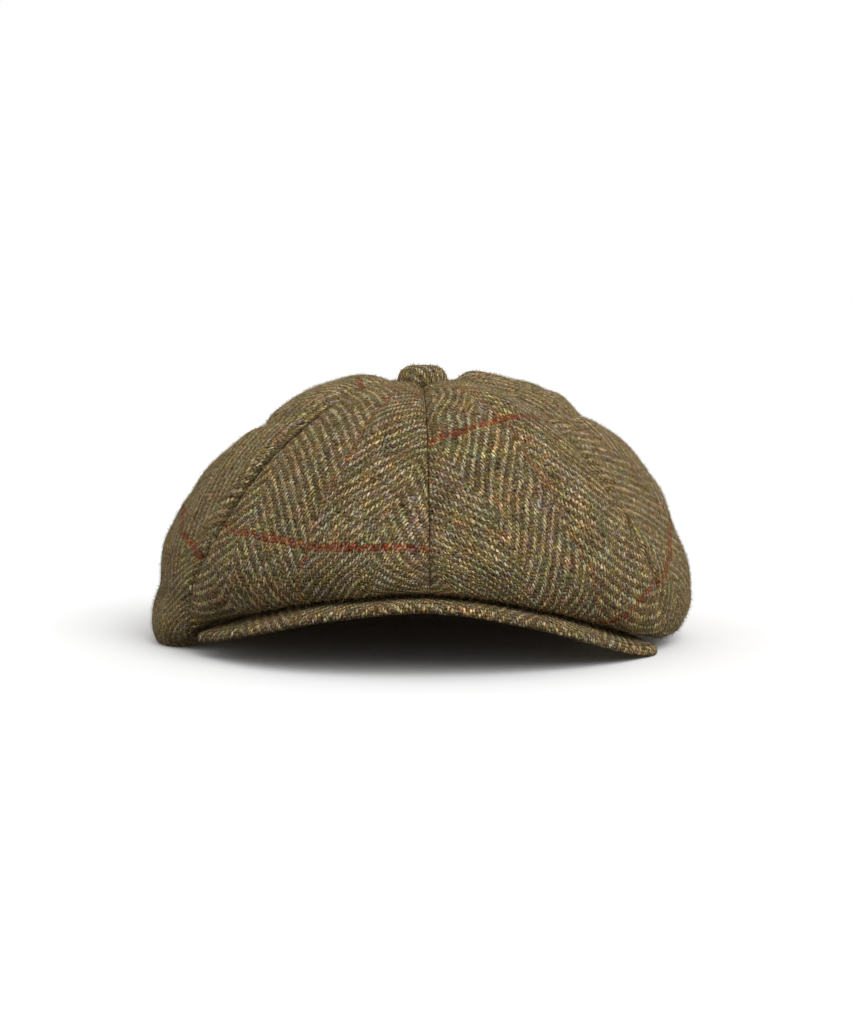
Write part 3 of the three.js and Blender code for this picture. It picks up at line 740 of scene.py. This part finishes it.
# Where two panels are sewn, the cut edges are pressed open on the inside, one layer to each side,
# and brown thread holds them from the button to the hem. The thread glints deep in the seam.
ALLOWANCE, ALLOWANCE_THICK, ALLOWANCE_AIR = 7, 0.8, 0.1
ALLOWANCE_FROM, STITCHES_FROM, SEWN_TO = 0.07, 0.05, 0.985
STITCH_STEP, STITCH_LONG, STITCH_THICK, STITCH_SINK = 2.9, 2.3, 0.55, 0.45
allowance_s = np.linspace(ALLOWANCE_FROM, SEWN_TO, 100)
allowance_d = np.linspace(-ALLOWANCE, ALLOWANCE, 11)


def across_seam(k, s, d, fine=True):
    """Points and normals at distances d to either side of the seam before panel k."""
    d, s = np.meshgrid(d, s)
    points, normal = np.empty(d.shape + (3,)), np.empty(d.shape + (3,))
    for panel, side in (((k - 1) % 8, -1), (k, 1)):
        half = np.linalg.norm(crown_skin(panel, 1, s, False) - crown_skin(panel, -1, s, False), axis=-1) / 2
        w = side * (np.minimum(abs(d) / half, 0.9) - 1)
        here = (d * side > 0) | ((d == 0) & (side == 1))
        points[here] = crown_skin(panel, w, s, fine)[here]
        normal[here] = edge_normal(panel, w, s)[here]
    return points, normal


allowance_points, allowance_faces, total = [], [], 0
for k in range(8):
    top, normal = across_seam(k, allowance_s, allowance_d)
    upper = top - normal * (CLOTH + ALLOWANCE_AIR)
    points, faces = closed_shell(upper, upper - normal * ALLOWANCE_THICK)
    allowance_points.append(points)
    allowance_faces.append(faces + total)
    total += len(points)
allowance_points = np.concatenate(allowance_points)
make_piece("seam_allowances", allowance_points, np.concatenate(allowance_faces), tweed,
           allowance_points[:, [0, 1]] / WARP_STEP)


def new_growth(name, sizes):
    """A Geometry Nodes tree that takes a mesh, named sizes and a material, with its two end nodes."""
    tree = bpy.data.node_groups.new(name, "GeometryNodeTree")
    tree.interface.new_socket("Geometry", in_out="INPUT", socket_type="NodeSocketGeometry")
    for label in sizes:
        kind = "NodeSocketInt" if label == "Seed" else "NodeSocketFloat"
        tree.interface.new_socket(label, in_out="INPUT", socket_type=kind)
    tree.interface.new_socket("Material", in_out="INPUT", socket_type="NodeSocketMaterial")
    tree.interface.new_socket("Geometry", in_out="OUTPUT", socket_type="NodeSocketGeometry")
    return tree, tree.nodes.new("NodeGroupInput").outputs, tree.nodes.new("NodeGroupOutput").inputs


def add_node(tree, kind, **links):
    """A node whose inputs, named with underlines for blanks, take a value or another node's result."""
    node = tree.nodes.new(kind)
    for label, value in links.items():
        feed(tree, node.inputs[label.replace("_", " ")], value)
    return node


def make_real(tree, instances, given, result):
    """Ends a tree: what it has placed is made real and gets its material."""
    real = add_node(tree, "GeometryNodeRealizeInstances", Geometry=instances)
    coloured = add_node(tree, "GeometryNodeSetMaterial", Geometry=real.outputs[0],
                        Material=given["Material"])
    tree.links.new(coloured.outputs[0], result["Geometry"])


def grow(name, points, faces, edges, tree, sizes, material):
    """What a tree makes from a mesh in millimetres, as a plain mesh on the cap's one body."""
    base = bpy.data.meshes.new(name + "_base")
    base.from_pydata((points / 1000).tolist(), edges, faces)
    source = bpy.data.objects.new(name + "_base", base)
    bpy.context.scene.collection.objects.link(source)
    modifier = source.modifiers.new("growth", "NODES")
    modifier.node_group = tree
    for item in tree.interface.items_tree:
        if item.in_out == "INPUT" and item.name in sizes:
            modifier[item.identifier] = sizes[item.name]
        if item.in_out == "INPUT" and item.name == "Material":
            modifier[item.identifier] = material
    mesh = bpy.data.meshes.new_from_object(source.evaluated_get(bpy.context.evaluated_depsgraph_get()))
    bpy.data.objects.remove(source)
    mesh.name = name
    piece = bpy.data.objects.new(name, mesh)
    bpy.context.scene.collection.objects.link(piece)
    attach(piece, "root")
    return piece


STITCH_SIZES = {"Step": STITCH_STEP / 1000, "Length": STITCH_LONG / 1000, "Thickness": STITCH_THICK / 1000}
stitch_tree, given, result = new_growth("row of stitches", STITCH_SIZES)
line = add_node(stitch_tree, "GeometryNodeMeshToCurve", Mesh=given["Geometry"])
spaced = add_node(stitch_tree, "GeometryNodeResampleCurve", Curve=line.outputs["Curve"])
spaced.mode = "LENGTH"
stitch_tree.links.new(given["Step"], spaced.inputs["Length"])
bead = add_node(stitch_tree, "GeometryNodeMeshUVSphere", Segments=6, Rings=5, Radius=0.5)
girth = add_node(stitch_tree, "ShaderNodeCombineXYZ", X=given["Length"], Y=given["Thickness"],
                 Z=given["Thickness"])
tangent = stitch_tree.nodes.new("GeometryNodeInputTangent")
facing = add_node(stitch_tree, "FunctionNodeAlignRotationToVector", Vector=tangent.outputs[0])
facing.axis = "X"
placed = add_node(stitch_tree, "GeometryNodeInstanceOnPoints", Points=spaced.outputs["Curve"],
                  Instance=bead.outputs["Mesh"], Rotation=facing.outputs[0], Scale=girth.outputs[0])
make_real(stitch_tree, placed.outputs["Instances"], given, result)

thread_material, tree, shader = new_material("sewing thread", 0.6, 0.2, linear(150, 90, 70))
place = tree.nodes.new("ShaderNodeTexCoord")
thread_noise = add_noise(tree, place.outputs["Object"], 900.0, 2.0)
tree.links.new(add_ramp(tree, thread_noise, [(0.35, linear(58, 24, 20)), (0.65, linear(108, 50, 38))]),
               shader.inputs["Base Color"])
add_bump(tree, shader, add_noise(tree, place.outputs["Object"], 2600.0), 0.0001, 0.6)

seam_points, seam_edges = [], []
for k in range(8):
    line_points, normal = across_seam(k, np.linspace(STITCHES_FROM, SEWN_TO, 160), np.array([0.0]))
    start = len(seam_points)
    seam_points.extend(line_points[:, 0] - normal[:, 0] * STITCH_SINK)
    seam_edges.extend((start + i, start + i + 1) for i in range(len(line_points) - 1))
grow("seam_stitches", np.array(seam_points), [], seam_edges, stitch_tree, STITCH_SIZES,
     thread_material)


# The sweatband is a plain brown cotton tape, as deep as the head band and folded at its lower
# edge, where a row of stitches holds it to the hem.
BAND_TALL, BAND_THICK, BAND_ROUND = 28, 2.0, 0.8
BAND_IN, BAND_EASE, BAND_LOOPS = 0.15, 0.25, 9
BAND_COLUMNS, BAND_STITCHES = 180, 360
BAND = [(-180, 2.5), (-135, 2.5), (-90, 5), (-60, 11), (-30, 27), (0, 31), (30, 25), (60, 8), (90, 4),
        (135, 2.5), (180, 2.5)]
BAND_STITCH_UP, BAND_STITCH_STEP = 3.0, 3.4
band_low = curve([row[0] for row in BAND], [row[1] for row in BAND], True)


def band_section():
    """Depth behind the band's outer face and height over its lower edge, round its section."""
    corner = np.radians(np.linspace(0, 90, 5))
    inner, high = BAND_THICK - BAND_ROUND, BAND_TALL - BAND_ROUND
    points = []
    for depth, height, turn in ((BAND_ROUND, BAND_ROUND, 180), (inner, BAND_ROUND, 270),
                                (inner, high, 0), (BAND_ROUND, high, 90)):
        a = corner + math.radians(turn)
        points += list(zip(depth + BAND_ROUND * np.cos(a), height + BAND_ROUND * np.sin(a)))
        if turn == 270:
            rise = np.linspace(BAND_ROUND, high, 14)[1:-1]
            points += [(BAND_THICK, h) for h in rise]
        if turn == 90:
            rise = np.linspace(high, BAND_ROUND, 14)[1:-1]
            points += [(0.0, h) for h in rise]
    return np.array(points)


def torus_faces(rows, columns):
    """Faces between rows of points that close both ways, seen from outside when they turn right."""
    grid = np.arange(rows * columns).reshape(rows, columns)
    ahead, beside = np.roll(grid, -1, 0), np.roll(grid, -1, 1)
    return np.stack([grid, beside, np.roll(ahead, -1, 1), ahead], -1).reshape(-1, 4)


section = band_section()
band_way = np.linspace(-180, 180, BAND_COLUMNS + 1)[:-1]
way, depth = np.meshgrid(band_way, section[:, 0], indexing="ij")
height = band_low(way) + section[None, :, 1]
ease = BAND_EASE * np.sin(np.radians(way) * BAND_LOOPS) * smooth((section[None, :, 1] - 6) / 16)
band_points = polar(way, band_radius(way, -BAND_IN) - depth + ease, height)
around = np.linalg.norm(np.diff(band_points[:, 0], axis=0), axis=-1)
band_u = np.concatenate([[0], np.cumsum(around)])[:, None] + 0 * depth
weave = np.stack([band_u, 0 * band_u + section[None, :, 1]], -1)
cotton, tree, shader = new_material("brown cotton", 0.8, 0.2, linear(180, 160, 130))
weave_map = tree.nodes.new("ShaderNodeUVMap")
weave_map.uv_map = "weave"
twill = tree.nodes.new("ShaderNodeTexWave")
twill.bands_direction = "DIAGONAL"
twill.inputs["Scale"].default_value = 0.45
twill.inputs["Distortion"].default_value = 0.6
tree.links.new(weave_map.outputs["UV"], twill.inputs["Vector"])
cloudy = add_ramp(tree, add_noise(tree, weave_map.outputs["UV"], 0.12, 3.0),
                  [(0.3, linear(84, 66, 46)), (0.7, linear(108, 86, 62))])
shade = add_ramp(tree, twill.outputs["Fac"], [(0.0, (0.8, 0.8, 0.8)), (1.0, (1.1, 1.1, 1.1))])
tree.links.new(add_mix(tree, 1.0, cloudy, shade, "MULTIPLY"), shader.inputs["Base Color"])
add_bump(tree, shader, twill.outputs["Fac"], 0.00015, 0.5)
make_piece("sweatband", band_points.reshape(-1, 3), torus_faces(*depth.shape), cotton,
           weave.reshape(-1, 2), ["head_band"])
stitch_way = np.linspace(-180, 180, BAND_STITCHES + 1)[:-1]
stitch_r = band_radius(stitch_way, -BAND_IN - BAND_THICK)
stitch_points = polar(stitch_way, stitch_r, band_low(stitch_way) + BAND_STITCH_UP)
stitch_edges = [(i, (i + 1) % BAND_STITCHES) for i in range(BAND_STITCHES)]
grow("sweatband_stitches", stitch_points, [], stitch_edges, stitch_tree,
     {**STITCH_SIZES, "Step": BAND_STITCH_STEP / 1000}, thread_material)


# The peak is a stiff board between two layers of the same cloth, which meet in a rolled edge.
# Its root is sewn in under the front of the crown, against the head band.
PEAK_COLUMNS = 200
PEAK_CROWDING = 1.25
PEAK_LAY = (44, 5)           # the thread of the warp and of the weft where its own count starts
PEAK_MEASURED = 20           # the point of each ring along which the warp threads are counted
PEAK_TAPER, PEAK_THIN = 3.5, 0.3
PEAK_DEPTHS = np.linspace(0, 0.955, 30)
PEAK_NOSE = np.linspace(0, 180, 13)


def peak_ring(root):
    """Points round the peak's section at one root, from the band over the top and back below."""
    q = np.clip((abs(root) - PEAK_END + PEAK_TAPER) / PEAK_TAPER, 0, 1)
    half = PEAK_THICK / 2 * (PEAK_THIN + (1 - PEAK_THIN) * math.sqrt(1 - q * q))
    depth = np.linalg.norm(peak_middle(root, 1.0) - peak_middle(root, 0.0))
    nose = half / depth
    t = np.concatenate([PEAK_DEPTHS, 1 - nose + nose * np.sin(np.radians(PEAK_NOSE)), PEAK_DEPTHS[::-1]])
    flat = half + 0 * PEAK_DEPTHS
    up = np.concatenate([flat, half * np.cos(np.radians(PEAK_NOSE)), -flat])
    ring = peak_middle(np.full(len(t), float(root)), t)
    ring[:, 2] = np.maximum(0, ring[:, 2] + up)
    return ring


share = np.linspace(-1, 1, PEAK_COLUMNS + 1)
peak_roots = PEAK_END * np.sign(share) * (1 - (1 - abs(share)) ** PEAK_CROWDING)
rings = np.array([peak_ring(root) for root in peak_roots])
count = rings.shape[1]
number = np.arange(rings.shape[0] * count).reshape(rings.shape[:2])
after = np.roll(number, -1, axis=1)
sides = np.stack([number[:-1], after[:-1], after[1:], number[1:]], -1).reshape(-1, 4)
rung = np.arange(count // 2 - 1)
under = count - 1 - rung
ends = np.concatenate([
    np.stack([number[0][rung], number[0][under], number[0][under - 1], number[0][rung + 1]], -1),
    np.stack([number[-1][rung], number[-1][rung + 1], number[-1][under - 1], number[-1][under]], -1),
])
middle = np.linalg.norm(np.diff(rings[:, PEAK_MEASURED], axis=0), axis=-1)
peak_u = np.concatenate([[0], np.cumsum(middle)])
peak_u -= peak_u[len(peak_u) // 2]
round_ring = np.linalg.norm(np.diff(rings, axis=1), axis=-1)
peak_v = np.concatenate([np.zeros((len(rings), 1)), np.cumsum(round_ring, 1)], 1)
weave = np.stack([peak_u[:, None] / WARP_STEP + PEAK_LAY[0] + 0 * peak_v,
                  peak_v / WEFT_STEP + PEAK_LAY[1]], -1)
make_piece("peak_cloth", rings.reshape(-1, 3), np.concatenate([sides, ends]), tweed,
           weave.reshape(-1, 2), ["peak"])


# The button is a shallow wooden dome covered with a round of the tweed, gathered beneath it and
# tied down through the crown with thread.
BUTTON_R, BUTTON_TOP, BUTTON_LIP, BUTTON_DISH, BUTTON_RIM = 12.2, 130.8, 1.2, 3.4, 5.6
SHANK_R, SHANK_DEPTH = 3, 6
BUTTON_UNDER, BUTTON_ACROSS, BUTTON_UP = 1.6, 0.55, 0.9
BUTTON_COLUMNS, GATHERS = 96, 11
PLEAT_DEEP, PLEAT_UNDER, PLEAT_TALL, BUTTON_UNEVEN = 0.28, 1.5, 2.4, 0.25
BUTTON_LAY = (9, 20)         # the thread of the warp and of the weft at its top


def button_profile():
    """Radius and height of the button from the foot of its shank round to its top."""
    low = crown_skin(3, 0.0, HOLE_S, False)[2]
    rim = low + BUTTON_RIM
    out = np.linspace(0, 1, 14)
    turn = np.radians(np.linspace(0, 90, 27)[:-1])
    r = np.concatenate([[0.2, SHANK_R], SHANK_R + (BUTTON_R - BUTTON_LIP - SHANK_R) * out,
                        BUTTON_R * np.cos(turn) ** BUTTON_ACROSS])
    foot = low - SHANK_DEPTH
    z = np.concatenate([[foot, foot], low + GAP + BUTTON_DISH * out ** BUTTON_UNDER,
                        rim + (BUTTON_TOP - rim) * np.sin(turn) ** BUTTON_UP])
    return r, z, low


button_r, button_z, button_low = button_profile()
button_way = np.linspace(-180, 180, BUTTON_COLUMNS + 1)[:-1]
r, way = np.meshgrid(button_r, button_way)
z = np.repeat(button_z[None], BUTTON_COLUMNS, 0)
rim_share = bell((z - button_low - BUTTON_RIM + PLEAT_UNDER) / PLEAT_TALL) * smooth((r - 7) / 4)
pleats = np.sin(np.radians(way) * GATHERS + 0.8 * np.sin(np.radians(way) * 3))
r = r + PLEAT_DEEP * pleats * rim_share
sway = BUTTON_UNEVEN * np.sin(np.radians(way) * 2 + 0.6)
z = z + sway * smooth((r - 3) / 8) * (z < BUTTON_TOP - 0.4)
button_points = np.concatenate([polar(way, r, z).reshape(-1, 3), [[AXIS_X, AXIS_Y, BUTTON_TOP]]])
grid = np.arange(r.size).reshape(r.shape)
beside = np.roll(grid, -1, 0)
button_faces = np.stack([grid[:, :-1], beside[:, :-1], beside[:, 1:], grid[:, 1:]], -1)
button_faces = button_faces.reshape(-1, 4).tolist()
button_faces += [[int(a), int(b), r.size] for a, b in zip(grid[:, -1], beside[:, -1])]
button_faces.append([int(a) for a in grid[::-1, 0]])
outwards, downwards = np.diff(button_r[::-1], prepend=0), np.diff(button_z[::-1], prepend=BUTTON_TOP)
from_top = np.cumsum(np.hypot(outwards, downwards))[::-1]
weave = np.stack([from_top[None] * np.sin(np.radians(way)) / WARP_STEP + BUTTON_LAY[0],
                  -from_top[None] * np.cos(np.radians(way)) / WEFT_STEP + BUTTON_LAY[1]], -1)
weave = np.concatenate([weave.reshape(-1, 2), [BUTTON_LAY]])
faces = np.empty(len(button_faces), object)
faces[:] = button_faces
make_piece("button_cloth", button_points, faces, sheen_brushed_tweed, weave, ["button"])


# The wool is never shaved smooth: short loose fibres stand out of it all over and blur its edge.
# They stand thicker on the sides and back than on the two front panels, and none is near the hem.
NAP_SIZES = {"Density": 7.0e5, "Length": 0.0019, "Thickness": 0.00006, "Lowest": 0.004, "Seed": 4}
NAP_TILT, NAP_FRONT, NAP_SHORTEST, NAP_LONGEST = 1.0, 4.0e5, 0.45, 1.35
HEM_BARE, BUTTON_BARE, PEAK_UNDER = 24, 16, 6    # rows of points that stay bare, or carry fibres below
nap_tree, given, result = new_growth("loose fibres", NAP_SIZES)
position = nap_tree.nodes.new("GeometryNodeInputPosition")
place = add_node(nap_tree, "ShaderNodeSeparateXYZ", Vector=position.outputs[0])
clear = add_math(nap_tree, "GREATER_THAN", place.outputs["Z"], given["Lowest"])
spots = add_node(nap_tree, "GeometryNodeDistributePointsOnFaces", Mesh=given["Geometry"], Selection=clear,
                 Density=given["Density"], Seed=given["Seed"])
fibre = add_node(nap_tree, "GeometryNodeMeshCone", Vertices=3, Side_Segments=1, Fill_Segments=1,
                 Radius_Top=0.0, Radius_Bottom=given["Thickness"], Depth=given["Length"])
longer = add_node(nap_tree, "FunctionNodeRandomValue", Seed=given["Seed"])
longer.inputs[2].default_value, longer.inputs[3].default_value = NAP_SHORTEST, NAP_LONGEST
standing = add_node(nap_tree, "GeometryNodeInstanceOnPoints", Points=spots.outputs["Points"],
                    Instance=fibre.outputs["Mesh"], Rotation=spots.outputs["Rotation"],
                    Scale=longer.outputs[1])
lean = nap_tree.nodes.new("FunctionNodeRandomValue")
lean.data_type = "FLOAT_VECTOR"
lean.inputs[0].default_value = (-NAP_TILT, -NAP_TILT, 0)
lean.inputs[1].default_value = (NAP_TILT, NAP_TILT, 6.28)
nap_tree.links.new(given["Seed"], lean.inputs["Seed"])
tilted = add_node(nap_tree, "GeometryNodeRotateInstances", Instances=standing.outputs["Instances"],
                  Rotation=lean.outputs[0])
make_real(nap_tree, tilted.outputs["Instances"], given, result)

nap_material, tree, shader = new_material("loose wool", 0.9, 0.0, (1, 1, 1))
place = tree.nodes.new("ShaderNodeTexCoord")
wool = add_noise(tree, place.outputs["Object"], 700.0, 2.0, 0.7)
tree.links.new(add_ramp(tree, wool, [(0.36, linear(48, 36, 20)), (0.46, linear(142, 122, 78)),
                                     (0.53, linear(104, 86, 50)), (0.64, linear(216, 198, 154))]),
               shader.inputs["Base Color"])


def grid_faces(rows, columns):
    """Faces between the points of an open grid."""
    grid = np.arange(rows * columns).reshape(rows, columns)
    return np.stack([grid[:-1, :-1], grid[1:, :-1], grid[1:, 1:], grid[:-1, 1:]], -1).reshape(-1, 4).tolist()


for k, name in enumerate(PANEL_NAMES):
    patch = skins[k][:-HEM_BARE:2, ::2]
    grow("panel_" + name + "_fibres", patch.reshape(-1, 3), grid_faces(*patch.shape[:2]), [], nap_tree,
         {**NAP_SIZES, "Density": NAP_FRONT if "front" in name else NAP_SIZES["Density"], "Seed": k + 1},
         nap_material)
peak_patch = rings[::2, :count // 2 + PEAK_UNDER:2]
grow("peak_fibres", peak_patch.reshape(-1, 3), grid_faces(*peak_patch.shape[:2]), [], nap_tree,
     {**NAP_SIZES, "Seed": 20}, nap_material)
button_patch = button_points[:-1].reshape(r.shape + (3,))[:, BUTTON_BARE:][::3, ::3]
button_patch = np.concatenate([button_patch, button_patch[:1]])
grow("button_fibres", button_patch.reshape(-1, 3), grid_faces(*button_patch.shape[:2]), [], nap_tree,
     {**NAP_SIZES, "Seed": 30}, nap_material)


# The cap lies on a wide white sheet under a soft lamp overhead, a little in front and to its right.
# The wall behind is white, and the sheet throws little light back up under the folds.
SUN_AT, SUN_POWER, SUN_SPREAD = Vector((0.5, -0.75, 0.9)), 1.85, 50
ROOM_GREY, ROOM_WHITE, ROOM_SIDES, UNDER_GREY = 0.51, 1.0, 0.95, 0.08

floor_material, tree, shader = new_material("white sheet", 0.9, 0.0, (1, 1, 1))
shader.inputs["Base Color"].default_value = (1, 1, 1, 1)
floor_mesh = bpy.data.meshes.new("floor")
floor_mesh.from_pydata([(-8, -8, 0), (8, -8, 0), (8, 8, 0), (-8, 8, 0)], [], [(0, 1, 2, 3)])
floor_mesh.materials.append(floor_material)
floor = bpy.data.objects.new("floor", floor_mesh)
floor.visible_diffuse = False
bpy.context.scene.collection.objects.link(floor)

world = bpy.data.worlds.new("studio")
world.use_nodes = True
room = world.node_tree
ahead = room.nodes.new("ShaderNodeSeparateXYZ")
room.links.new(room.nodes.new("ShaderNodeTexCoord").outputs["Generated"], ahead.inputs[0])
beside = add_math(room, "MULTIPLY", add_math(room, "ABSOLUTE", ahead.outputs[0]), ROOM_SIDES)
wall = add_math(room, "MAXIMUM", ahead.outputs[1], beside)
wall = add_ramp(room, wall, grey((0.35, ROOM_GREY), (0.85, ROOM_WHITE)))
rise = add_math(room, "MULTIPLY_ADD", ahead.outputs[2], 1.0, 0.5)
above = add_ramp(room, rise, grey((0.40, UNDER_GREY), (0.48, 1.0)))
room.links.new(add_mix(room, 1.0, wall, above, "MULTIPLY"), room.nodes["Background"].inputs["Color"])
bpy.context.scene.world = world
bpy.context.scene.view_settings.view_transform = "Standard"

light = bpy.data.lights.new("soft lamp", "SUN")
light.energy = SUN_POWER
light.angle = math.radians(SUN_SPREAD)
lamp = bpy.data.objects.new("soft lamp", light)
lamp.rotation_euler = SUN_AT.to_track_quat("Z", "Y").to_euler()
bpy.context.scene.collection.objects.link(lamp)
